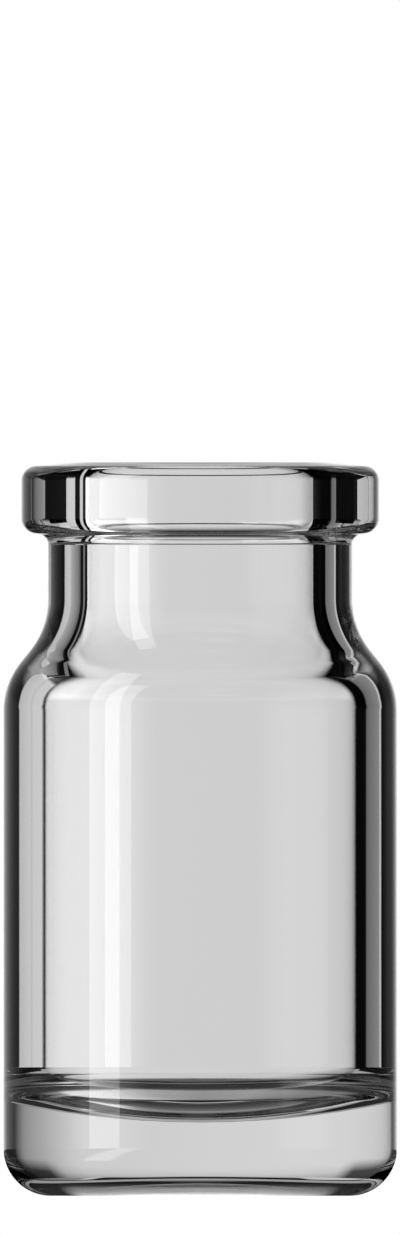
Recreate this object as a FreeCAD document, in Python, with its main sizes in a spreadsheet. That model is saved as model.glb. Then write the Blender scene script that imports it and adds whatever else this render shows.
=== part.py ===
"""Moulded glass injection vial with a 20 mm crimp-neck finish, empty and uncapped.

The vial is one piece of clear glass, turned about the Z axis. It stands on z = 0, with its mouth
at the top. Going up, it has a rounded heel round a shallow hollow base, a straight body, a shoulder
that sweeps into a short neck, and a thick flange that an aluminium cap is crimped over. Inside, a
dished floor rounds into the body wall, and the cavity follows the shoulder up to a straight bore
that takes a rubber stopper. Sizes are in millimetres and degrees.
"""

import FreeCAD, Part
import Sketcher
import os

NODE = "vial"
FULL_TURN = 360
TOLERANCE = 0.001

SIZES = [
    ("overall_height", 41.0, "foot to sealing land"),
    ("body_diameter", 22.0, "outside of the straight body"),
    ("body_wall", 2.3, "glass of the straight body"),
    ("neck_diameter", 17.0, "outside of the neck"),
    ("neck_length", 5.13, "head of the shoulder to root of the flange"),
    ("mouth_bore", 12.6, "bore that a stopper plugs"),
    ("shoulder_angle", 38.5, "slope of the shoulder, from the axis"),
    ("shoulder_radius", 4.3, "outer rounding, body to shoulder"),
    ("neck_sweep_radius", 4.6, "outer sweep, shoulder to neck"),
    ("cavity_shoulder_radius", 2.0, "inner rounding, body to shoulder"),
    ("cavity_sweep_radius", 6.8, "inner sweep, shoulder to bore"),
    ("flange_diameter", 20.0, "edge that a crimp cap goes over"),
    ("flange_height", 4.12, "root of the flange to sealing land"),
    ("flange_bottom_slope", 10.0, "rise of the underside towards its edge"),
    ("flange_top_slope", 5.0, "fall of the top outside the sealing land"),
    ("flange_root_radius", 0.6, "corner between neck and flange"),
    ("flange_bottom_radius", 0.9, "lower edge of the flange"),
    ("flange_top_radius", 0.85, "upper edge of the flange"),
    ("mouth_edge_radius", 0.4, "rounding between bore and land"),
    ("land_width", 0.3, "flat sealing land, outside that rounding"),
    ("heel_radius", 2.65, "rounding, body to foot"),
    ("foot_width", 0.8, "flat ring that the vial stands on"),
    ("punt_depth", 0.5, "hollow under the foot, on the axis"),
    ("punt_rim_radius", 1.5, "rounding between foot and hollow"),
    ("floor_thickness", 4.1, "glass under the cavity, on the axis"),
    ("floor_dish_radius", 23.0, "hollow curve of the cavity floor"),
    ("floor_corner_radius", 2.0, "rounding, cavity floor to wall"),
]

OVERALL = "sizes.overall_height"
BODY_RADIUS = "sizes.body_diameter / 2"
NECK_RADIUS = "sizes.neck_diameter / 2"
BORE_RADIUS = "sizes.mouth_bore / 2"
FLANGE_RADIUS = "sizes.flange_diameter / 2"
CAVITY_RADIUS = f"({BODY_RADIUS} - sizes.body_wall)"

# The shoulder is a cone between two corners, one on the body and one on the neck. The cavity's two
# corners are set in from them, so that the glass is as thick on the cone as on the body and neck.
FLANGE_ROOT = f"({OVERALL} - sizes.flange_height)"
SHOULDER_HEAD = f"({FLANGE_ROOT} - sizes.neck_length)"
SHOULDER_FOOT = f"({SHOULDER_HEAD} - ({BODY_RADIUS} - {NECK_RADIUS}) / tan(sizes.shoulder_angle))"
CAVITY_HEAD = f"({SHOULDER_HEAD} - ({NECK_RADIUS} - {BORE_RADIUS}) * tan(sizes.shoulder_angle / 2))"
CAVITY_FOOT = f"({CAVITY_HEAD} - ({CAVITY_RADIUS} - {BORE_RADIUS}) / tan(sizes.shoulder_angle))"

# The land's flat lies outside the mouth's rounding. The flange's top falls from it to the edge,
# and its underside rises to the edge.
LAND_RADIUS = f"({BORE_RADIUS} + sizes.mouth_edge_radius + sizes.land_width)"
FLANGE_TOP_EDGE = f"({OVERALL} - ({FLANGE_RADIUS} - {LAND_RADIUS}) * tan(sizes.flange_top_slope))"
FLANGE_OVERHANG = f"({FLANGE_RADIUS} - {NECK_RADIUS})"
FLANGE_BOTTOM_EDGE = f"({FLANGE_ROOT} + {FLANGE_OVERHANG} * tan(sizes.flange_bottom_slope))"

# The hollow base is a shallow sphere inside the foot ring, and the cavity floor is a deeper one.
PUNT_RADIUS = f"({BODY_RADIUS} - sizes.heel_radius - sizes.foot_width)"
DISH = "sizes.floor_dish_radius"
FLOOR_EDGE = f"(sizes.floor_thickness + {DISH} - sqrt({DISH}^2 - {CAVITY_RADIUS}^2))"

OUTLINE = [
    ("foot_centre", "0", "0"),
    ("heel", BODY_RADIUS, "0"),
    ("shoulder_foot", BODY_RADIUS, SHOULDER_FOOT),
    ("shoulder_head", NECK_RADIUS, SHOULDER_HEAD),
    ("flange_root", NECK_RADIUS, FLANGE_ROOT),
    ("flange_bottom_edge", FLANGE_RADIUS, FLANGE_BOTTOM_EDGE),
    ("flange_top_edge", FLANGE_RADIUS, FLANGE_TOP_EDGE),
    ("land_edge", LAND_RADIUS, OVERALL),
    ("top_centre", "0", OVERALL),
]

CAVITY = [
    ("floor_centre", "0", "sizes.floor_thickness"),
    ("floor_edge", CAVITY_RADIUS, FLOOR_EDGE),
    ("cavity_foot", CAVITY_RADIUS, CAVITY_FOOT),
    ("cavity_head", BORE_RADIUS, CAVITY_HEAD),
    ("mouth_edge", BORE_RADIUS, OVERALL),
    ("mouth_centre", "0", OVERALL),
]

PUNT = [
    ("punt_rim", PUNT_RADIUS, "0"),
    ("punt_crown", "0", "sizes.punt_depth"),
    ("punt_foot", "0", "0"),
]

MOST_OF = 0.95


def eased(radius, rest_of_length, length, turn):
    """Limit a rounding so that it and its neighbour fit the stretch between their two corners."""
    taken = f"(({radius} + {rest_of_length}) * tan({turn} / 2))"
    return f"({radius} * min(1; {MOST_OF} * {length} / {taken}))"


CONE = f"(({BODY_RADIUS} - {NECK_RADIUS}) / sin(sizes.shoulder_angle))"
CAVITY_CONE = f"(({CAVITY_RADIUS} - {BORE_RADIUS}) / sin(sizes.shoulder_angle))"
UNDERSIDE = f"({FLANGE_OVERHANG} / cos(sizes.flange_bottom_slope))"
UNDERSIDE_TURN = "(90 - sizes.flange_bottom_slope)"

# The corners of the outline and of the cavity are rounded in their sketches. The mouth and the rim of
# the hollow base are edges between a cut and the blank, so they are rounded on the solid.
OUTLINE_ROUNDINGS = [
    ("heel", "sizes.heel_radius"),
    ("shoulder_foot",
     eased("sizes.shoulder_radius", "sizes.neck_sweep_radius", CONE, "sizes.shoulder_angle")),
    ("shoulder_head",
     eased("sizes.neck_sweep_radius", "sizes.shoulder_radius", CONE, "sizes.shoulder_angle")),
    ("flange_root",
     eased("sizes.flange_root_radius", "sizes.flange_bottom_radius", UNDERSIDE, UNDERSIDE_TURN)),
    ("flange_bottom_edge",
     eased("sizes.flange_bottom_radius", "sizes.flange_root_radius", UNDERSIDE, UNDERSIDE_TURN)),
    ("flange_top_edge", "sizes.flange_top_radius"),
]
CAVITY_ROUNDINGS = [
    ("floor_edge", "sizes.floor_corner_radius"),
    ("cavity_foot",
     eased("sizes.cavity_shoulder_radius", "sizes.cavity_sweep_radius", CAVITY_CONE,
           "sizes.shoulder_angle")),
    ("cavity_head",
     eased("sizes.cavity_sweep_radius", "sizes.cavity_shoulder_radius", CAVITY_CONE,
           "sizes.shoulder_angle")),
]

START, END, CENTRE = 1, 2, 3
ORIGIN_POINT = (-1, 1)
ACROSS_AXIS, UPRIGHT_AXIS = -1, -2


def make_sheet(doc):
    """Write each driving size to a cell that carries its name."""
    sheet = doc.addObject("Spreadsheet::Sheet", "sizes")
    for row, (name, number, meaning) in enumerate(SIZES, start=1):
        sheet.set(f"A{row}", name)
        sheet.set(f"B{row}", str(number))
        sheet.set(f"C{row}", meaning)
        sheet.setAlias(f"B{row}", name)
    doc.recompute()
    return sheet


def arc_about_axis(start, end):
    """Arc from start round to end, anticlockwise, with its centre on the axis of the vial."""
    rise = (end.x**2 + end.y**2 - start.x**2 - start.y**2) / (2 * (end.y - start.y))
    centre = FreeCAD.Vector(0, rise, 0)
    circle = Part.Circle(centre, FreeCAD.Vector(0, 0, 1), (start - centre).Length)
    return Part.ArcOfCircle(circle, circle.parameter(start), circle.parameter(end))


def pin_corner(sketch, edge, name, radius, height):
    """Dimension one corner by its radius and its height, or set it on an axis where that is 0."""
    across = ("radius", radius, "DistanceX", UPRIGHT_AXIS)
    upright = ("height", height, "DistanceY", ACROSS_AXIS)
    for word, size, kind, axis in (across, upright):
        if size == "0":
            sketch.addConstraint(Sketcher.Constraint("PointOnObject", edge, START, axis))
            continue
        place = float(sketch.evalExpression(size))
        made = sketch.addConstraint(Sketcher.Constraint(kind, *ORIGIN_POINT, edge, START, place))
        sketch.renameConstraint(made, f"{name}_{word}")
        sketch.setExpression(f"Constraints.{name}_{word}", size)


def half_section(body, label, corners, dished=None):
    """Closed sketch through the corners, in order; the edge after the dished corner is an arc."""
    sketch = body.newObject("Sketcher::SketchObject", label)
    plane = next(datum for datum in body.Origin.OriginFeatures if datum.Role == "XZ_Plane")
    sketch.AttachmentSupport = [(plane, "")]
    sketch.MapMode = "FlatFace"
    places = [
        FreeCAD.Vector(
            float(sketch.evalExpression(radius)), float(sketch.evalExpression(height)), 0
        )
        for _, radius, height in corners
    ]
    for (name, _, _), start, end in zip(corners, places, places[1:] + places[:1]):
        edge = arc_about_axis(start, end) if name == dished else Part.LineSegment(start, end)
        made = sketch.addGeometry(edge, False)
        if name == dished:
            sketch.addConstraint(Sketcher.Constraint("PointOnObject", made, CENTRE, UPRIGHT_AXIS))
    for edge, (name, radius, height) in enumerate(corners):
        following = (edge + 1) % len(corners)
        sketch.addConstraint(Sketcher.Constraint("Coincident", edge, END, following, START))
        pin_corner(sketch, edge, name, radius, height)
    return sketch


def middle_of(edge):
    """A point half way along an edge of a sketch."""
    return edge.value((edge.FirstParameter + edge.LastParameter) / 2)


def bind_radius(sketch, edge, name, radius):
    """Dimension the radius of an arc of a sketch."""
    size = float(sketch.evalExpression(radius))
    made = sketch.addConstraint(Sketcher.Constraint("Radius", edge, size))
    sketch.renameConstraint(made, name)
    sketch.setExpression(f"Constraints.{name}", radius)


def round_in_sketch(sketch, corners, name, radius):
    """Round one corner of a half section; its dimensions stay on the point where its edges meet."""
    corner = [entry[0] for entry in corners].index(name)
    edges = ((corner - 1) % len(corners), corner)
    middles = [middle_of(sketch.Geometry[edge]) for edge in edges]
    rounding = sketch.GeometryCount
    sketch.fillet(*edges, *middles, float(sketch.evalExpression(radius)), True, True)
    bind_radius(sketch, rounding, f"{name}_rounding", radius)


def turn(body, kind, label, sketch):
    """Turn a half section about the axis, to add it (Revolution) or to cut it away (Groove)."""
    before = body.Shape.Volume if body.Tip else 0
    feature = body.newObject(f"PartDesign::{kind}", label)
    feature.Profile = sketch
    feature.ReferenceAxis = (sketch, ["V_Axis"])
    feature.Angle = FULL_TURN
    body.Document.recompute()
    gained = body.Shape.Volume - before
    if (gained > 0) != (kind == "Revolution"):
        raise RuntimeError(f"{label} changed the volume by {gained:.1f} mm3")
    return feature


def corner_edge(body, sketch, corners, name):
    """Name the circular edge that a corner of a half section left on the solid."""
    place = sketch.getPoint([corner[0] for corner in corners].index(name), START)
    for number, edge in enumerate(body.Shape.Edges, start=1):
        if edge.Degenerated or not isinstance(edge.Curve, Part.Circle):
            continue
        apart = FreeCAD.Vector(edge.Curve.Radius - place.x, edge.Curve.Center.z - place.y, 0)
        if apart.Length < TOLERANCE:
            return f"Edge{number}"
    raise RuntimeError(f"no edge at {name}")


def round_on_solid(body, sketch, corners, name, radius):
    """Round an edge of the solid all the way about the vial."""
    edge = corner_edge(body, sketch, corners, name)
    below = body.Tip
    rounding = body.newObject("PartDesign::Fillet", f"{name}_rounding")
    rounding.Base = (below, [edge])
    rounding.setExpression("Radius", radius)
    body.Document.recompute()


def make_vial(doc):
    """Turn the outside, bore the cavity, hollow the base, then round the edges left by the cuts."""
    body = doc.addObject("PartDesign::Body", NODE)
    body.Label = NODE
    body.Placement = FreeCAD.Placement()
    outline = half_section(body, "outline", OUTLINE)
    cavity = half_section(body, "cavity_outline", CAVITY, "floor_centre")
    punt = half_section(body, "punt_outline", PUNT, "punt_rim")
    for name, radius in OUTLINE_ROUNDINGS:
        round_in_sketch(outline, OUTLINE, name, radius)
    for name, radius in CAVITY_ROUNDINGS:
        round_in_sketch(cavity, CAVITY, name, radius)
    # The corner between the dish and the wall keeps no point, so the two are dimensioned by themselves.
    dish, wall = 0, 1
    bind_radius(cavity, dish, "floor_dish", DISH)
    cavity.addConstraint(Sketcher.Constraint("Vertical", wall))
    turn(body, "Revolution", "turned_blank", outline)
    turn(body, "Groove", "cavity", cavity)
    turn(body, "Groove", "punt", punt)
    round_on_solid(body, cavity, CAVITY, "mouth_edge", "sizes.mouth_edge_radius")
    round_on_solid(body, punt, PUNT, "punt_rim", "sizes.punt_rim_radius")
    return body


def check(doc, bodies):
    """Stop if any object failed to build, or if a body isn't one valid solid."""
    failed = [item.Label for item in doc.Objects if {"Invalid", "Error"} & set(item.State)]
    if failed:
        raise RuntimeError(f"failed to build: {failed}")
    for body in bodies:
        shape = body.Shape
        if shape.isNull() or not shape.isValid() or len(shape.Solids) != 1:
            raise RuntimeError(f"{body.Label} isn't one valid solid")


def main():
    doc = FreeCAD.newDocument("injection_vial")
    make_sheet(doc)
    bodies = [make_vial(doc)]
    check(doc, bodies)
    os.makedirs("parts", exist_ok=True)
    for body in bodies:
        body.Shape.exportStep(f"parts/{body.Label}.step")
        box = body.Shape.optimalBoundingBox()
        print(
            f"{body.Label}: {box.XLength:.2f} x {box.YLength:.2f} x {box.ZLength:.2f} mm,"
            f" {body.Shape.Volume:.0f} mm3, {len(body.Shape.Faces)} faces"
        )


main()
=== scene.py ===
# %% [markdown]
# # A moulded glass injection vial
#
# The real object is one piece of clear borosilicate glass, blown in a mould and polished by its
# own heat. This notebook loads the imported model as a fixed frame, turns the same form as a much
# finer mesh, gives it a glass finish, and sets it in a small studio. The loading comes first,
# because every later step takes its place and size from the frame.

# %% Load the frame
import math

import bpy
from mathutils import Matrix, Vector


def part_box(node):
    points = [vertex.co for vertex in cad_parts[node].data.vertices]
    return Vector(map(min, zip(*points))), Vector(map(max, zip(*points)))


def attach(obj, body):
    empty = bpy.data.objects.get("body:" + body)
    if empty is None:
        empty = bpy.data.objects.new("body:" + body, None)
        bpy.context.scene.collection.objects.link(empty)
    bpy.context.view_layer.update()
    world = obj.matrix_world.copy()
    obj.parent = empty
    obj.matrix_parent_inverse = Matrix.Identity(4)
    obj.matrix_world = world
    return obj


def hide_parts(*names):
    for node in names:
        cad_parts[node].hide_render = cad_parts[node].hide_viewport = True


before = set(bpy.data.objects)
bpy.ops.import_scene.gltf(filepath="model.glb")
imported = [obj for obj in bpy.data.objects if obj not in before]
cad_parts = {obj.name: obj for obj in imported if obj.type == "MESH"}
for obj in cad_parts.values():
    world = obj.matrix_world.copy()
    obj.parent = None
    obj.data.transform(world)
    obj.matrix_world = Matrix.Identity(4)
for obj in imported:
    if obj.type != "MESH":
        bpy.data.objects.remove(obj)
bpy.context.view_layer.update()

MM = 0.001
VIAL_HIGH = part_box("vial")[1]
VIAL_HEIGHT = VIAL_HIGH.z / MM
BODY_RADIUS = VIAL_HIGH.x / MM
print(f"vial: {2 * BODY_RADIUS:.2f} mm across, {VIAL_HEIGHT:.2f} mm tall")

# %% [markdown]
# ## The vial's outline
#
# Glass shows every facet twice, once in reflection and once bent through the wall, so the vial is
# turned here from its half section. The section is a row of corners, each with the rounding that
# the mould or the flame gives it. A round corner becomes an arc of short steps, and each step
# keeps the arc's own surface direction, so that the smooth shading is exact.

# %% Sizes of the section, in millimetres and degrees
WALL = 2.3
NECK_RADIUS = 8.5
NECK_LENGTH = 5.13
BORE_RADIUS = 6.3
SHOULDER_ANGLE = 38.5
FLANGE_RADIUS = 10.0
FLANGE_HEIGHT = 4.12
FLANGE_BOTTOM_SLOPE = 10.0
FLANGE_TOP_SLOPE = 5.0
MOUTH_ROUNDING = 0.4
LAND_WIDTH = 0.3
HEEL_ROUNDING = 2.65
FOOT_WIDTH = 0.8
PUNT_DEPTH = 0.5
PUNT_ROUNDING = 1.5
FLOOR_THICKNESS = 4.1
FLOOR_DISH_RADIUS = 23.0
FLOOR_ROUNDING = 2.0
SHOULDER_ROUNDING = 4.3
NECK_SWEEP = 4.6
FLANGE_ROOT_ROUNDING = 0.6
FLANGE_BOTTOM_ROUNDING = 0.9
FLANGE_TOP_ROUNDING = 0.85
LAND_ROUNDING = 0.3
CAVITY_SWEEP = 6.8
CAVITY_SHOULDER_ROUNDING = 2.0
print(f"wall {WALL} mm, bore {2 * BORE_RADIUS} mm, floor {FLOOR_THICKNESS} mm")

# %% Helpers that draw the section
ARC_STEP = 3.0
# Where one arc runs into the next, two points closer than this, in millimetres, count as one.
SAME_PLACE = 1e-4


def slope(angle):
    return math.tan(math.radians(angle))


def arc(centre, radius, start, end, hollow=False):
    """Points of an arc, each with the direction in which the glass surface faces there."""
    steps = max(2, math.ceil(abs(end - start) / ARC_STEP))
    side = -1 if hollow else 1
    points = []
    for step in range(steps + 1):
        turn = math.radians(start + (end - start) * step / steps)
        out = Vector((math.cos(turn), math.sin(turn)))
        points.append((Vector(centre) + radius * out, side * out))
    return points


def round_corner(before, corner, after, radius):
    """The arc that rounds one corner of the section; the glass lies to the left of the path."""
    before, corner, after = Vector(before), Vector(corner), Vector(after)
    back, ahead = (before - corner).normalized(), (after - corner).normalized()
    turn = math.acos(max(-1.0, min(1.0, back.dot(ahead))))
    middle = (back + ahead).normalized()
    centre = corner + middle * radius / math.sin(turn / 2)
    touch = corner + back * radius / math.tan(turn / 2)
    leave = corner + ahead * radius / math.tan(turn / 2)
    hollow = back.x * ahead.y - back.y * ahead.x > 0
    start = math.degrees(math.atan2(*reversed(touch - centre)))
    end = math.degrees(math.atan2(*reversed(leave - centre)))
    while end - start > 180:
        end -= 360
    while end - start < -180:
        end += 360
    return arc(centre, radius, start, end, hollow)


print(f"an arc has a point every {ARC_STEP} degrees or less")

# %% Corners of the section, from the foot ring round to the cavity wall
cavity_radius = BODY_RADIUS - WALL
flange_root = VIAL_HEIGHT - FLANGE_HEIGHT
shoulder_head = flange_root - NECK_LENGTH
shoulder_foot = shoulder_head - (BODY_RADIUS - NECK_RADIUS) / slope(SHOULDER_ANGLE)
cavity_head = shoulder_head - (NECK_RADIUS - BORE_RADIUS) * slope(SHOULDER_ANGLE / 2)
cavity_foot = cavity_head - (cavity_radius - BORE_RADIUS) / slope(SHOULDER_ANGLE)
flange_bottom = flange_root + (FLANGE_RADIUS - NECK_RADIUS) * slope(FLANGE_BOTTOM_SLOPE)
land_radius = BORE_RADIUS + MOUTH_ROUNDING + LAND_WIDTH
flange_top = VIAL_HEIGHT - (FLANGE_RADIUS - land_radius) * slope(FLANGE_TOP_SLOPE)

CORNERS = [
    ((BODY_RADIUS, 0), HEEL_ROUNDING),
    ((BODY_RADIUS, shoulder_foot), SHOULDER_ROUNDING),
    ((NECK_RADIUS, shoulder_head), NECK_SWEEP),
    ((NECK_RADIUS, flange_root), FLANGE_ROOT_ROUNDING),
    ((FLANGE_RADIUS, flange_bottom), FLANGE_BOTTOM_ROUNDING),
    ((FLANGE_RADIUS, flange_top), FLANGE_TOP_ROUNDING),
    ((land_radius, VIAL_HEIGHT), LAND_ROUNDING),
    ((BORE_RADIUS, VIAL_HEIGHT), MOUTH_ROUNDING),
    ((BORE_RADIUS, cavity_head), CAVITY_SWEEP),
    ((cavity_radius, cavity_foot), CAVITY_SHOULDER_ROUNDING),
]
print(f"{len(CORNERS)} corners, round a cavity {2 * cavity_radius:.1f} mm across")

# %% The hollow base and the dished floor
def punt():
    """The hollow base, from the axis out to the foot ring."""
    rim = BODY_RADIUS - HEEL_ROUNDING - FOOT_WIDTH
    radius = (rim**2 + PUNT_DEPTH**2) / (2 * PUNT_DEPTH)
    centre = PUNT_DEPTH - radius
    reach = radius + PUNT_ROUNDING
    out = math.sqrt(reach**2 - (PUNT_ROUNDING - centre) ** 2)
    turn = math.degrees(math.acos(out / reach))
    hollow = arc((0, centre), radius, 90, turn, hollow=True)
    return hollow + arc((out, PUNT_ROUNDING), PUNT_ROUNDING, turn - 180, -90)


def cavity_floor():
    """The corner at the foot of the cavity wall, and the dish in to the axis."""
    centre = FLOOR_THICKNESS + FLOOR_DISH_RADIUS
    out = cavity_radius - FLOOR_ROUNDING
    reach = FLOOR_DISH_RADIUS - FLOOR_ROUNDING
    down = math.sqrt(reach**2 - out**2)
    turn = -math.degrees(math.acos(out / reach))
    corner = arc((out, centre - down), FLOOR_ROUNDING, 0, turn, hollow=True)
    return corner + arc((0, centre), FLOOR_DISH_RADIUS, turn, -90, hollow=True)


print(f"hollow base: {len(punt())} points, cavity floor: {len(cavity_floor())} points")

# %% The whole section
def section():
    """Half section from the axis under the foot, round the outside and back down the cavity."""
    ends = [(0, 0)] + [place for place, _ in CORNERS] + [(cavity_radius, FLOOR_THICKNESS)]
    points = punt()
    for index, (place, rounding) in enumerate(CORNERS, start=1):
        points += round_corner(ends[index - 1], place, ends[index + 1], rounding)
    points += cavity_floor()
    kept = [points[0]]
    for point in points[1:]:
        if (point[0] - kept[-1][0]).length > SAME_PLACE:
            kept.append(point)
    return kept


SECTION = section()
print(f"section: {len(SECTION)} points")

# %% [markdown]
# ## Turning the section
#
# The screw modifier would turn the section too, but it can't be told the exact surface
# directions. So the rings are written straight into a mesh, with one point at each end on the
# axis.

# %% Turn the section into a mesh
ROUND_STEPS = 360


def turned(name, points):
    """Turn a half section of (place, facing) pairs, in millimetres, about the Z axis."""
    verts, facings = [], []
    first, last = points[0], points[-1]
    for place, facing in points[1:-1]:
        for step in range(ROUND_STEPS):
            turn = 2 * math.pi * step / ROUND_STEPS
            across = Vector((math.cos(turn), math.sin(turn), 0))
            verts.append((across * place.x + Vector((0, 0, place.y))) * MM)
            facings.append((across * facing.x + Vector((0, 0, facing.y))).normalized())
    rings = len(points) - 2
    faces = []
    for ring in range(rings - 1):
        for step in range(ROUND_STEPS):
            following = (step + 1) % ROUND_STEPS
            low, high = ring * ROUND_STEPS, (ring + 1) * ROUND_STEPS
            faces.append((low + step, low + following, high + following, high + step))
    for (place, facing), ring in ((first, 0), (last, rings - 1)):
        pole = len(verts)
        verts.append(Vector((0, 0, place.y * MM)))
        facings.append(Vector((0, 0, math.copysign(1, facing.y))))
        for step in range(ROUND_STEPS):
            edge = (ring * ROUND_STEPS + step, ring * ROUND_STEPS + (step + 1) % ROUND_STEPS)
            faces.append((pole, edge[1], edge[0]) if ring == 0 else (pole, *edge))
    mesh = bpy.data.meshes.new(name)
    mesh.from_pydata(verts, [], faces)
    mesh.update()
    mesh.shade_smooth()
    mesh.normals_split_custom_set_from_vertices(facings)
    piece = bpy.data.objects.new(name, mesh)
    bpy.context.scene.collection.objects.link(piece)
    return piece


vial = turned("vial_glass", SECTION)
print(f"vial: {len(vial.data.polygons)} faces")

# %% [markdown]
# ## Colours and nodes
#
# A shader wants linear colours, and people write colours as sRGB hex codes, so one function turns
# one into the other. A second function adds any node: it sets the node's properties and sockets,
# and links its inputs. Every material, the world and the lamp are made with it.

# %% Two small helpers
def srgb(code):
    """A hex colour, such as F4F6F5, as the linear colour that a shader takes."""
    parts = [int(code[i:i + 2], 16) / 255 for i in (0, 2, 4)]
    linear = [p / 12.92 if p <= 0.04045 else ((p + 0.055) / 1.055) ** 2.4 for p in parts]
    return (*linear, 1.0)


def node(tree, kind, settings=None, links=None):
    """Add one node, set its sockets and properties, and link its inputs to sockets or nodes."""
    made = tree.nodes.new(kind)
    for name, value in (settings or {}).items():
        if isinstance(name, str) and hasattr(made, name):
            setattr(made, name, value)
        else:
            made.inputs[name].default_value = value
    for name, source in (links or {}).items():
        output = source.outputs[0] if hasattr(source, "outputs") else source
        tree.links.new(output, made.inputs[name])
    return made


def empty_tree(owner):
    """The node tree of a material, lamp or world, with nothing in it yet."""
    owner.use_nodes = True
    owner.node_tree.nodes.clear()
    return owner.node_tree


print("white in linear light:", srgb("FFFFFF"))

# %% [markdown]
# ## Moulded borosilicate glass
#
# The real finish is clear glass, pressed against a warm mould and then smoothed by the flame. It
# has no grain, and the eye reads it by three things: the bending of light (index 1.5), the dark
# lines at its edges, and a very slight waviness, which keeps those lines from looking drawn with
# a ruler. The waves could be modelled in the mesh, but they are a few microns high, so a bump
# from a noise texture gives the same turn of the light. They are longer up the wall than round
# it, as glass is drawn that way. Thick glass also takes a little of the light, which greys the
# base. Only the foot ring, on which the vial stands and slides, is a little dull from wear.

# %% The glass
GLASS_INDEX = 1.5
WAVE_LENGTH = 5.0
WAVE_HEIGHT = 0.003
WAVE_DRAW = 0.35
WAVE_DETAIL = 1.5
GLASS_GREY = "BCBCBC"
GREY_PER_METRE = 7.6
WORN_HEIGHT = 0.12
WORN_ROUGHNESS = 0.25


def moulded_glass():
    """Clear, sharp glass with gentle mould waves: the eye gets crisp but lively edge lines."""
    material = bpy.data.materials.new("moulded_borosilicate_glass")
    tree = empty_tree(material)
    place = node(tree, "ShaderNodeTexCoord")
    drawn = node(tree, "ShaderNodeMapping", {"Scale": (1.0, 1.0, WAVE_DRAW)},
                 {"Vector": place.outputs["Object"]})
    waves = node(tree, "ShaderNodeTexNoise",
                 {"Scale": 1 / (WAVE_LENGTH * MM), "Detail": WAVE_DETAIL}, {"Vector": drawn})
    relief = node(tree, "ShaderNodeBump", {"Distance": WAVE_HEIGHT * MM}, {"Height": waves})
    height = node(tree, "ShaderNodeSeparateXYZ", links={0: place.outputs["Object"]})
    worn = node(tree, "ShaderNodeMapRange", {2: WORN_HEIGHT * MM, 3: WORN_ROUGHNESS, 4: 0.0},
                {0: height.outputs["Z"]})
    glass = node(tree, "ShaderNodeBsdfPrincipled", {
        "Base Color": srgb("FFFFFF"),
        "IOR": GLASS_INDEX,
        "Transmission Weight": 1.0,
    }, {"Roughness": worn, "Normal": relief})
    depth = node(tree, "ShaderNodeVolumeAbsorption",
                 {"Color": srgb(GLASS_GREY), "Density": GREY_PER_METRE})
    node(tree, "ShaderNodeOutputMaterial", links={"Surface": glass, "Volume": depth})
    return material


vial.data.materials.append(moulded_glass())
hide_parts("vial")
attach(vial, "root")
print(f"glass: waves {WAVE_LENGTH} mm apart round the wall, {1000 * WAVE_HEIGHT:.0f} microns high")

# %% [markdown]
# ## A studio for glass
#
# Glass has hardly any colour of its own. What it shows is its surroundings, bent or mirrored, so
# lighting it means placing white and black round it. A photographer stands the vial before a
# white background, and puts black flags and grey cards just outside the picture, so that the
# walls get their dark and grey lines. Many small cards could be built for that. Here most of them
# are written as tables instead: each table gives a level of light for directions round the vial,
# and Light Path says by which way a ray has come. The camera sees plain white, and matt paper
# gets an even fill. Directions are in degrees, to the left of straight ahead as the camera looks,
# and above the horizon.

# %% A level of light along an angle or a distance
LEVEL_TOP = 5.0
HALF_TURN = 180
QUARTER_TURN = 90


def level_along(tree, source, stops, low, high, top=1.0):
    """A level that changes along an angle or a distance, from (place, level) stops."""
    spread = node(tree, "ShaderNodeMapRange", {1: low, 2: high}, {0: source})
    colours = node(tree, "ShaderNodeValToRGB", links={0: spread})
    elements = colours.color_ramp.elements
    for place, _ in stops[1:-1]:
        elements.new((place - low) / (high - low))
    for element, (_, level) in zip(elements, stops):
        element.color = (level / top, level / top, level / top, 1.0)
    return node(tree, "ShaderNodeMath", {"operation": "MULTIPLY", 1: top}, {0: colours})


def patches(tree, bearing, height, tables):
    """The sum of some patches of light; each is a table across times a table upright."""
    total = None
    for across, upright in tables:
        wide = level_along(tree, bearing, across, -HALF_TURN, HALF_TURN, LEVEL_TOP)
        tall = level_along(tree, height, upright, -QUARTER_TURN, QUARTER_TURN)
        patch = node(tree, "ShaderNodeMath", {"operation": "MULTIPLY"}, {0: wide, 1: tall})
        if total:
            patch = node(tree, "ShaderNodeMath", {"operation": "ADD"}, {0: total, 1: patch})
        total = patch
    return total


print(f"tables of light hold levels up to {LEVEL_TOP}")

# %% [markdown]
# ## Which way a ray has come
#
# Three questions about a ray decide what it sees. Has it been mirrored at least once? Has it been
# inside the glass? And has it met only a few surfaces? After many bounces between the walls a ray
# carries a picture of everything at once, which in real glass is dim and soft, so such rays see
# only a small part of the light.

# %% Questions about a ray
OVER_NONE = 0.5
FEW_SURFACES = 3.5
AFTER_MANY = 0.06


def mirrored_once(tree, path):
    """1 for a ray that has been mirrored at least once."""
    return node(tree, "ShaderNodeMath", {"operation": "GREATER_THAN", 1: OVER_NONE},
                {0: path.outputs["Glossy Depth"]})


def been_inside(tree, path):
    """1 for a ray that has been inside the glass."""
    return node(tree, "ShaderNodeMath", {"operation": "GREATER_THAN", 1: OVER_NONE},
                {0: path.outputs["Transmission Depth"]})


def direct(tree, path):
    """1 for a ray that has met at most three surfaces, and a small number after more of them."""
    met = node(tree, "ShaderNodeMath", {"operation": "ADD"},
               {0: path.outputs["Glossy Depth"], 1: path.outputs["Transmission Depth"]})
    few = node(tree, "ShaderNodeMath", {"operation": "LESS_THAN", 1: FEW_SURFACES}, {0: met})
    return node(tree, "ShaderNodeMapRange", {3: AFTER_MANY, 4: 1.0}, {0: few})


print(f"a ray past {int(FEW_SURFACES)} surfaces sees {AFTER_MANY:.0%} of the light")

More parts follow.
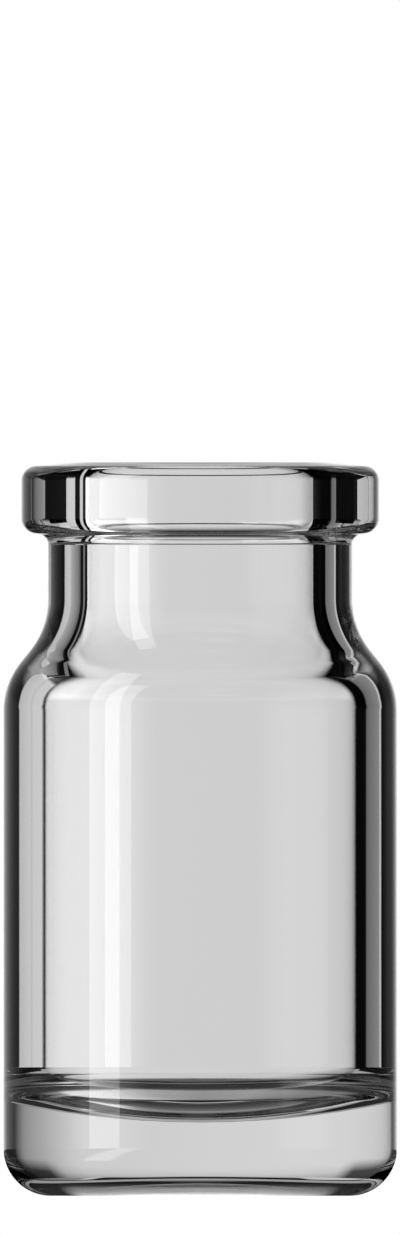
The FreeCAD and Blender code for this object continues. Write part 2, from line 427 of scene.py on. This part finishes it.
# %% [markdown]
# ## Room for the bounces
#
# The thick base is a light trap: a ray may be mirrored eight or ten times in it before it gets
# out. The usual limit of four mirror bounces would leave black holes there, so it is raised.

# %% Bounces
BOUNCES = 16
cycles = bpy.context.scene.cycles
cycles.max_bounces = cycles.glossy_bounces = cycles.transmission_bounces = BOUNCES
print(f"rays may bounce {BOUNCES} times")

# %% [markdown]
# ## Straight through the glass
#
# A ray that only passes through sees the white background, a little below the white of the
# picture, so that the glass stands out from it. To the right it falls off, where a black flag
# stands, and that darkens the right side of the cavity. Behind the camera it is bright again, so
# that the vial also looks like glass from its other sides. Further to the sides the background
# ends lower, and the round corners of the heel, which bend rays up and outwards, go dark. The
# shoulder bends rays upward on their way through the cavity, and a lift of light a little above
# the horizon makes it glow there.

# %% Light behind the vial
BEYOND = [(-180, 0.72), (-130, 0.7), (-92, 0.6), (-78, 0.0), (-42, 0.0), (-35, 0.57), (-30, 0.67),
          (-26, 0.72), (-14, 0.72), (0, 0.74), (20, 0.77), (36, 0.77), (43, 0.0), (82, 0.0),
          (94, 0.6), (130, 0.7), (180, 0.72)]
BEYOND_HEIGHT = [(-90, 1.0), (13, 1.0), (19, 0.86), (25, 0.55), (28, 0.3), (34, 0.06), (90, 0.02)]
ASIDE = [(-180, 0.0), (-78, 0.02), (-63, 0.02), (-58, 0.2), (-54, 0.34), (-42, 0.46), (-35, 0.0),
         (36, 0.0), (43, 0.76), (61, 0.78), (69, 0.62), (73, 0.1), (82, 0.1), (94, 0.0),
         (180, 0.0)]
ASIDE_HEIGHT = [(-90, 1.0), (9, 1.0), (15, 0.5), (20, 0.1), (34, 0.03), (90, 0.02)]
THROUGH_CAVITY = 2.5
LIFT = [(-180, 0.0), (-45, 0.0), (-28, 0.3), (-19, 0.12), (-12, 0.03), (-6, 0.0), (6, 0.0),
        (13, 0.22), (20, 0.38), (35, 0.4), (50, 0.0), (180, 0.0)]
LIFT_UP = [(-90, 0.0), (2, 0.0), (7, 1.0), (17, 1.0), (25, 0.5), (35, 0.1), (45, 0.0), (90, 0.0)]
print(f"behind the vial: {len(BEYOND)} steps round, and {len(ASIDE)} for the lower sides")

# %% [markdown]
# ## Mirrored on the outer skin
#
# At the very edge of the vial the skin turns away from the camera and mirrors what stands
# straight behind and beside it. The real edge is nearly black with a thin grey rim, so the light
# falls off quickly from straight ahead. The bright part on the left is the side window of the
# studio.

# %% Light on the outer skin
OUTER = [(-180, 0.01), (-134, 0.01), (-129, 0.6), (-104, 0.65), (-99, 0.2), (-95, 0.05),
         (-57, 0.01), (-42, 0.02), (-35, 0.06), (-26, 0.14), (-20, 0.35), (-12, 0.9), (0, 1.0),
         (14, 0.65), (20, 0.44), (25, 0.34), (35, 0.19), (41, 0.14), (46, 0.1), (52.6, 0.04),
         (57, 0.04), (64, 0.08), (85, 0.16), (96, 0.2), (104, 0.9), (111, 1.5), (132, 1.3),
         (140, 0.7), (150, 0.02), (180, 0.01)]
OUTER_UP = [(-90, 1.0), (3, 1.0), (7, 0.6), (20, 0.5), (35, 0.2), (60, 0.05), (90, 0.05)]
print(f"on the outer skin: {len(OUTER)} steps round")

# %% [markdown]
# ## Mirrored inside the wall
#
# A ray that enters the wall beside the cavity is mirrored by the cavity's own skin and leaves to
# the left or right behind the vial. That is what draws the grey band between two dark lines down
# each side. Two strips behind the vial light it, and a tall one on each side lights the face of
# the cavity. Three small patches are higher up: one for the crease where the shoulder meets the
# body, one for the bent light above it, and one for a glint in the cavity's floor.

# %% Strips behind and beside the vial
BEHIND = [(-180, 0.0), (-43.2, 0.0), (-42, 0.15), (-24, 0.3), (-23.2, 0.75), (-21.5, 0.75),
          (-20.3, 0.0), (-8, 0.02), (0, 0.0), (19.6, 0.0), (21, 0.62), (35, 0.68), (39, 0.66),
          (39.8, 0.45), (40.6, 0.68), (52.5, 0.68), (54, 0.05), (57, 0.0), (180, 0.0)]
BEHIND_UP = [(-90, 0.0), (-20, 0.1), (-8, 1.0), (21, 1.0), (24, 0.0), (90, 0.0)]
SIDES = [(-180, 0.01), (-134, 0.01), (-129, 0.6), (-95, 0.65), (-60, 0.6), (-56, 0.0), (57, 0.0),
         (58, 1.15), (66, 1.5), (80, 2.7), (98, 2.3), (111, 1.6), (132, 1.4), (140, 0.8),
         (150, 0.02), (180, 0.01)]
SIDES_UP = [(-90, 0.02), (-12, 0.02), (-6, 1.0), (14, 1.0), (25, 0.6), (40, 0.25), (60, 0.1),
            (90, 0.05)]
print(f"inside the wall: {len(BEHIND)} steps behind the vial, {len(SIDES)} at its sides")

# %% Patches above the vial
CREASE = [(-180, 0.0), (-43, 0.0), (-37, 0.25), (-32, 0.1), (-26, 0.35), (-22, 0.35), (-18, 0.0),
          (14, 0.0), (17, 0.3), (22, 0.6), (34, 0.62), (38, 0.2), (45, 0.12), (60, 0.0),
          (180, 0.0)]
CREASE_UP = [(-90, 0.0), (20, 0.0), (23, 1.0), (28, 0.9), (34, 0.22), (41, 0.1), (50, 0.0),
             (90, 0.0)]
SKY = [(-180, 0.0), (-20, 0.0), (-12, 1.0), (18, 1.0), (22, 0.0), (180, 0.0)]
SKY_UP = [(-90, 0.0), (4, 0.0), (12, 0.45), (24, 0.42), (33, 0.17), (41, 0.1), (49, 0.06),
          (60, 0.03), (90, 0.02)]
GLINT = [(-180, 0.0), (-28, 0.0), (-24, 0.65), (-14, 0.65), (-10, 0.1), (-6, 0.0), (180, 0.0)]
GLINT_UP = [(-90, 0.0), (28, 0.0), (31, 1.0), (35, 1.0), (38, 0.1), (44, 0.0), (90, 0.0)]
print(f"above: crease {len(CREASE)}, sky {len(SKY)} and glint {len(GLINT)} steps")


# %% What a ray from the glass sees
def bearing_and_height(tree, towards):
    """The bearing and the height above the horizon of a direction, both in degrees."""
    split = node(tree, "ShaderNodeSeparateXYZ", links={0: towards})
    left = node(tree, "ShaderNodeMath", {"operation": "MULTIPLY", 1: -1.0},
                {0: split.outputs["X"]})
    turn = node(tree, "ShaderNodeMath", {"operation": "ARCTAN2"}, {0: left, 1: split.outputs["Y"]})
    rise = node(tree, "ShaderNodeMath", {"operation": "ARCSINE"}, {0: split.outputs["Z"]})
    return [node(tree, "ShaderNodeMath", {"operation": "DEGREES"}, {0: angle})
            for angle in (turn, rise)]


def seen_by_glass(tree, towards, path):
    """What the glass sees in a direction: straight through it, and after a mirror bounce."""
    bearing, height = bearing_and_height(tree, towards)
    beyond = patches(tree, bearing, height, [(BEYOND, BEYOND_HEIGHT), (ASIDE, ASIDE_HEIGHT)])
    hollow = node(tree, "ShaderNodeMath", {"operation": "GREATER_THAN", 1: THROUGH_CAVITY},
                  {0: path.outputs["Transmission Depth"]})
    lift = node(tree, "ShaderNodeMath", {"operation": "MULTIPLY"},
                {0: patches(tree, bearing, height, [(LIFT, LIFT_UP)]), 1: hollow})
    beyond = node(tree, "ShaderNodeMath", {"operation": "ADD"}, {0: beyond, 1: lift})
    outer = patches(tree, bearing, height, [(OUTER, OUTER_UP)])
    inner = patches(tree, bearing, height,
                    [(BEHIND, BEHIND_UP), (SIDES, SIDES_UP), (CREASE, CREASE_UP)])
    inside = been_inside(tree, path)
    near = node(tree, "ShaderNodeMix", {"data_type": "FLOAT"}, {0: inside, 2: outer, 3: inner})
    near = node(tree, "ShaderNodeMath", {"operation": "MULTIPLY"},
                {0: near, 1: direct(tree, path)})
    above = patches(tree, bearing, height, [(SKY, SKY_UP), (GLINT, GLINT_UP)])
    above = node(tree, "ShaderNodeMath", {"operation": "MULTIPLY"}, {0: above, 1: inside})
    mirrored = node(tree, "ShaderNodeMath", {"operation": "ADD"}, {0: near, 1: above})
    return beyond, mirrored, bearing


print("the glass sees the background straight through, and the cards after a mirror bounce")

# %% [markdown]
# ## Matt white paper, with painted light and shade
#
# The vial stands on white paper, on which its shadow falls. The glass also looks down on that
# paper, bent by the thick base, and there the paper glows with painted light and shade, set by how
# far from the vial's axis the ray lands: a painted bright pool under the hollow base, a painted
# dark ring of shadow under the heel, paper painted lighter behind the vial, and a painted glow in
# front that lights the foot. Far out it joins the light at the horizon. The painted pool is seen
# only from inside the glass. The outer skin of the heel mirrors the painted glow instead.

# %% Painted light and shade on the paper, by distance from the axis in millimetres and by bearing
NEAR_FLOOR = 60
FAR_FLOOR = 1500
# Painted shadow: for rays through the glass, the paper under the vial is dark.
UNDER = [(0, 0.06), (6, 0.06), (9.5, 1.0), (NEAR_FLOOR, 1.0)]
# Painted pool of light under the hollow base, and paper painted lighter behind the vial.
POOL_EDGE = [(0, 1.0), (9.3, 1.0), (10.2, 0.04), (12, 0.0), (NEAR_FLOOR, 0.0)]
POOL_SIDES = [(-180, 0.3), (-150, 0.33), (-113, 0.18), (-87, 0.2), (-60, 0.05), (60, 0.05),
              (88, 0.3), (97, 0.85), (118, 0.72), (130, 0.6), (152, 0.38), (180, 0.3)]
BEHIND_POOL = [(0, 0.0), (12, 0.03), (20.5, 0.01), (22, 0.16), (25, 0.5), (27.5, 0.36),
               (56, 0.36), (NEAR_FLOOR, 0.0)]
# Painted glow on the paper in front of the foot, and the key softbox's light painted on the paper.
FRONT_GLOW = [(0, 0.12), (8.3, 0.12), (8.4, 1.0), (9.6, 1.0), (9.9, 0.0), (NEAR_FLOOR, 0.0)]
FRONT = [(-180, 2.7), (-158, 2.2), (-144, 1.35), (-132, 0.85), (-123, 0.02), (123, 0.02),
         (132, 1.15), (144, 1.45), (158, 2.25), (180, 2.7)]
KEY_REACH = [(0, 0.0), (14, 0.0), (15, 1.0), (NEAR_FLOOR, 1.0)]
KEY_ON_FLOOR = [(-180, 0.0), (130, 0.0), (133, 2.7), (143, 2.7), (147, 0.0), (180, 0.0)]
FAR = [(0, 0.0), (220, 0.0), (450, 1.0), (FAR_FLOOR, 1.0)]
print(f"paper: the pool under the base ends {POOL_EDGE[1][0]} mm from the axis")


# %% Add up the painted light on the paper
def pool_of_light(tree, reach, bearing):
    """What a mirrored ray sees on the paper under and behind the vial: a painted pool of light."""
    edge = level_along(tree, reach, POOL_EDGE, 0, NEAR_FLOOR)
    side = level_along(tree, bearing, POOL_SIDES, -HALF_TURN, HALF_TURN)
    under = node(tree, "ShaderNodeMath", {"operation": "MULTIPLY"}, {0: edge, 1: side})
    behind = level_along(tree, reach, BEHIND_POOL, 0, NEAR_FLOOR)
    return node(tree, "ShaderNodeMath", {"operation": "ADD"}, {0: under, 1: behind})


def glow_in_front(tree, reach, bearing):
    """What the heel's skin mirrors: painted glow on the paper in front, and painted softbox light.
    """
    glow = None
    for out, around in ((FRONT_GLOW, FRONT), (KEY_REACH, KEY_ON_FLOOR)):
        near = level_along(tree, reach, out, 0, NEAR_FLOOR)
        side = level_along(tree, bearing, around, -HALF_TURN, HALF_TURN, LEVEL_TOP)
        part = node(tree, "ShaderNodeMath", {"operation": "MULTIPLY"}, {0: near, 1: side})
        if glow:
            part = node(tree, "ShaderNodeMath", {"operation": "ADD"}, {0: glow, 1: part})
        glow = part
    return glow


print("light on the paper: a pool seen from inside the glass, and a glow seen from outside")

# %% The paper
PAPER_WHITE = "F0F0F0"


def paper_with_painted_light():
    """Soft matt paper, a plain ground with a faint shadow; for glass rays it glows with painted
    light.
    """
    material = bpy.data.materials.new("white_paper_painted_light")
    tree = empty_tree(material)
    path = node(tree, "ShaderNodeLightPath")
    place = node(tree, "ShaderNodeNewGeometry")
    direction = node(tree, "ShaderNodeVectorMath", {"operation": "NORMALIZE"},
                     {0: place.outputs["Position"]})
    metres = node(tree, "ShaderNodeVectorMath", {"operation": "LENGTH"},
                  {0: place.outputs["Position"]})
    reach = node(tree, "ShaderNodeMath", {"operation": "DIVIDE", 1: MM},
                 {0: metres.outputs["Value"]})
    beyond, mirrored, bearing = seen_by_glass(tree, direction, path)
    shade = level_along(tree, reach, UNDER, 0, NEAR_FLOOR)
    straight = node(tree, "ShaderNodeMath", {"operation": "MULTIPLY"}, {0: beyond, 1: shade})
    far = level_along(tree, reach, FAR, 0, FAR_FLOOR)
    far = node(tree, "ShaderNodeMath", {"operation": "MULTIPLY"}, {0: mirrored, 1: far})
    inside = been_inside(tree, path)
    pool = node(tree, "ShaderNodeMath", {"operation": "MULTIPLY"},
                {0: pool_of_light(tree, reach, bearing), 1: inside})
    pool = node(tree, "ShaderNodeMath", {"operation": "ADD"}, {0: pool, 1: far})
    outside = node(tree, "ShaderNodeMath", {"operation": "SUBTRACT", 0: 1.0}, {1: inside})
    glow = node(tree, "ShaderNodeMath", {"operation": "MULTIPLY"},
                {0: glow_in_front(tree, reach, bearing), 1: outside})
    bounced = node(tree, "ShaderNodeMath", {"operation": "ADD"}, {0: pool, 1: glow})
    seen = node(tree, "ShaderNodeMix", {"data_type": "FLOAT"},
                {0: mirrored_once(tree, path), 2: straight, 3: bounced})
    # For rays from the glass the paper is an emission: painted light and painted shadow.
    painted_glow = node(tree, "ShaderNodeEmission", links={"Strength": seen})
    matt = node(tree, "ShaderNodeBsdfDiffuse", {"Color": srgb(PAPER_WHITE)})
    by_glass = node(tree, "ShaderNodeMath", {"operation": "MAXIMUM"},
                    {0: path.outputs["Is Transmission Ray"], 1: path.outputs["Is Glossy Ray"]})
    both = node(tree, "ShaderNodeMixShader", links={0: by_glass, 1: matt, 2: painted_glow})
    node(tree, "ShaderNodeOutputMaterial", links={"Surface": both})
    return material


print(f"paper colour: {PAPER_WHITE}")

# %% The sheet of paper
PAPER_WIDTH = 3.0


def sheet(name, corners):
    """A flat four-cornered piece of the studio."""
    mesh = bpy.data.meshes.new(name)
    mesh.from_pydata(corners, [], [(0, 1, 2, 3)])
    piece = bpy.data.objects.new(name, mesh)
    bpy.context.scene.collection.objects.link(piece)
    return piece


half = PAPER_WIDTH / 2
floor = sheet("floor", [(-half, -half, 0), (half, -half, 0), (half, half, 0), (-half, half, 0)])
floor.data.materials.append(paper_with_painted_light())
print(f"floor: {PAPER_WIDTH} m square")

# %% [markdown]
# ## The world
#
# The world is the same split on a sphere round the studio: full white for the camera, an even
# fill for the matt paper, and the tables for the glass.

# %% The world
FILL = 0.75
WHITE = 1.0


def studio_world():
    """White for the camera, an even fill for the paper, and the tables for the glass."""
    world = bpy.data.worlds.new("studio")
    bpy.context.scene.world = world
    tree = empty_tree(world)
    path = node(tree, "ShaderNodeLightPath")
    place = node(tree, "ShaderNodeTexCoord")
    beyond, mirrored, _ = seen_by_glass(tree, place.outputs["Generated"], path)
    seen = node(tree, "ShaderNodeMix", {"data_type": "FLOAT"},
                {0: mirrored_once(tree, path), 2: beyond, 3: mirrored})
    lit = node(tree, "ShaderNodeMix", {"data_type": "FLOAT", 3: FILL},
               {0: path.outputs["Is Diffuse Ray"], 2: seen})
    shown = node(tree, "ShaderNodeMix", {"data_type": "FLOAT", 3: WHITE},
                 {0: path.outputs["Is Camera Ray"], 2: lit})
    background = node(tree, "ShaderNodeBackground", {"Color": srgb("FFFFFF")}, {"Strength": shown})
    node(tree, "ShaderNodeOutputWorld", links={"Surface": background})


studio_world()
print(f"world: white {WHITE} for the camera, fill {FILL} for the paper")

# %% [markdown]
# ## The key softbox
#
# One real lamp stands at the left and a little behind the camera. Its tall, narrow shape is the
# clear upright highlight on the left of the body, the neck and the flange, so its width is given
# by the angle that it covers, seen from the vial.

# %% The key softbox
KEY_BEARING = 122
KEY_ANGLE = 20
KEY_DISTANCE = 0.6
KEY_HEIGHT = 0.8
KEY_LEVEL = 2.7


def softbox(name, bearing, angle, distance, height, level):
    """An upright lamp that stands on the floor and faces the vial."""
    width = 2 * distance * math.tan(math.radians(angle / 2))
    lamp = bpy.data.lights.new(name, "AREA")
    lamp.shape = "RECTANGLE"
    lamp.size = width
    lamp.size_y = height
    # An area lamp gives pi watts for each square metre at a level of 1.
    lamp.energy = math.pi * width * height
    tree = empty_tree(lamp)
    path = node(tree, "ShaderNodeLightPath")
    strength = node(tree, "ShaderNodeMath", {"operation": "MULTIPLY", 1: level},
                    {0: direct(tree, path)})
    glow = node(tree, "ShaderNodeEmission", links={"Strength": strength})
    node(tree, "ShaderNodeOutputLight", links={"Surface": glow})
    piece = bpy.data.objects.new(name, lamp)
    turn = math.radians(QUARTER_TURN + bearing)
    away = Vector((math.cos(turn), math.sin(turn), 0))
    piece.location = away * distance + Vector((0, 0, height / 2))
    piece.rotation_euler = away.to_track_quat("Z", "Y").to_euler()
    bpy.context.scene.collection.objects.link(piece)
    return width


key_width = softbox("key_softbox", KEY_BEARING, KEY_ANGLE, KEY_DISTANCE, KEY_HEIGHT, KEY_LEVEL)
print(f"key softbox: {key_width:.2f} m wide, {KEY_HEIGHT} m tall, {KEY_DISTANCE} m away")

# %% [markdown]
# ## Cards close to the glass
#
# The tables know only directions. The flange, the neck and the base each have dark and grey bars
# of their own, so they need cards that stand at their own height, close to the glass, as a
# photographer would clip them to a stand. A card shows itself only to a ray that has been
# mirrored inside the glass, and only from one side, so it stays out of the picture and casts no
# shadow.

# %% A card
def card(name, start, end, low, high, stops):
    """An upright card from start to end in plan, which shows on the right side of that way."""
    piece = sheet(name, [(x * MM, y * MM, z * MM)
                         for (x, y), z in ((start, low), (end, low), (end, high), (start, high))])
    material = bpy.data.materials.new(name)
    tree = empty_tree(material)
    path = node(tree, "ShaderNodeLightPath")
    place = node(tree, "ShaderNodeNewGeometry")
    origin = (*start, 0.0)
    way = Vector((*end, 0.0)) - Vector(origin)
    offset = node(tree, "ShaderNodeVectorMath",
                  {"operation": "SUBTRACT", 1: [x * MM for x in origin]},
                  {0: place.outputs["Position"]})
    along = node(tree, "ShaderNodeVectorMath",
                 {"operation": "DOT_PRODUCT", 1: way / way.length_squared / MM}, {0: offset})
    level = level_along(tree, along.outputs["Value"], stops, 0, 1)
    strength = node(tree, "ShaderNodeMath", {"operation": "MULTIPLY"},
                    {0: level, 1: direct(tree, path)})
    glow = node(tree, "ShaderNodeEmission", links={"Strength": strength})
    unseen = node(tree, "ShaderNodeBsdfTransparent", {"Color": srgb("FFFFFF")})
    bounced = node(tree, "ShaderNodeMath", {"operation": "MULTIPLY"},
                   {0: been_inside(tree, path), 1: mirrored_once(tree, path)})
    front = node(tree, "ShaderNodeMath", {"operation": "SUBTRACT", 0: 1.0},
                 {1: place.outputs["Backfacing"]})
    met = node(tree, "ShaderNodeMath", {"operation": "MULTIPLY"}, {0: bounced, 1: front})
    both = node(tree, "ShaderNodeMixShader", links={0: met, 1: unseen, 2: glow})
    node(tree, "ShaderNodeOutputMaterial", links={"Surface": both})
    piece.data.materials.append(material)


print("a card shows itself only to a ray that has been mirrored inside the glass")

# %% Cards round the flange
FLANGE_BAND = (36.7, 41.3)
BLACK = [(0, 0.0), (1, 0.0)]
FLANGE_CARDS = [
    ("flange_left_flag", (-17.8, 10.6), (-9.5, 10.6), BLACK),
    ("flange_right_flag", (8.2, 10.6), (16.8, 10.6), BLACK),
    ("flange_left_edge_card", (-11.3, -1.91), (-11.3, 0.1),
     [(0, 0.0), (0.234, 0.0), (0.279, 0.65), (0.493, 0.65), (0.542, 0.0), (1, 0.0)]),
    ("flange_right_edge_flag", (11.3, 0.9), (11.3, -2.22), BLACK),
    ("flange_right_card", (0.2, 12), (0.2, 62), [(0, 0.6), (1, 0.65)]),
    ("flange_left_card", (-0.2, 160), (-0.2, 12),
     [(0, 0.36), (0.6, 0.33), (0.88, 0.27), (0.96, 0.2), (1, 0.0)]),
]
for name, start, end, stops in FLANGE_CARDS:
    card(name, start, end, *FLANGE_BAND, stops)
print(f"{len(FLANGE_CARDS)} cards from {FLANGE_BAND[0]} to {FLANGE_BAND[1]} mm up")

# %% Cards round the neck
NECK_BAND = (32.0, 36.6)
NECK_CARDS = [
    ("neck_left_card", (-11.3, -0.73), (-11.3, 4.29),
     [(0, 0.0), (0.11, 0.0), (0.12, 0.2), (0.175, 0.2), (0.187, 0.0), (0.315, 0.0), (0.347, 0.12),
      (0.48, 0.24), (0.77, 0.38), (1, 0.5)]),
    ("neck_right_flag", (11.3, 2.52), (11.3, -0.73), BLACK),
]
for name, start, end, stops in NECK_CARDS:
    card(name, start, end, *NECK_BAND, stops)
print(f"{len(NECK_CARDS)} cards from {NECK_BAND[0]} to {NECK_BAND[1]} mm up")

# %% Flags behind the base
BASE_BAND = (0.05, 6.8)
BASE_FLAGS = [("base_left_flag", (-32, 15), (-9, 15)), ("base_right_flag", (9, 15), (32, 15))]
for name, start, end in BASE_FLAGS:
    card(name, start, end, *BASE_BAND, BLACK)
print(f"{len(BASE_FLAGS)} flags from {BASE_BAND[0]} to {BASE_BAND[1]} mm up")

# %% [markdown]
# ## The camera
#
# The photograph looks level and from far away: the flange's top and the foot show as straight
# lines. So the camera is orthographic, and its scale comes from the vial's height in the picture.

# %% The camera
FRAME_WIDTH, FRAME_HEIGHT = 400, 1235
PIXELS_PER_MM = 17.89
AXIS_X, FOOT_Y = 200.25, 1195.8
CAMERA_DISTANCE = 0.4

lens = bpy.data.cameras.new("camera")
lens.type = "ORTHO"
lens.ortho_scale = FRAME_HEIGHT / PIXELS_PER_MM * MM
camera = bpy.data.objects.new("camera", lens)
camera.location = ((FRAME_WIDTH / 2 - AXIS_X) / PIXELS_PER_MM * MM, -CAMERA_DISTANCE,
                   (FOOT_Y - FRAME_HEIGHT / 2) / PIXELS_PER_MM * MM)
camera.rotation_euler = (math.pi / 2, 0, 0)
bpy.context.scene.collection.objects.link(camera)
bpy.context.scene.camera = camera
bpy.context.scene.view_settings.view_transform = "Standard"
print(f"camera: the frame is {1000 * lens.ortho_scale:.1f} mm tall")
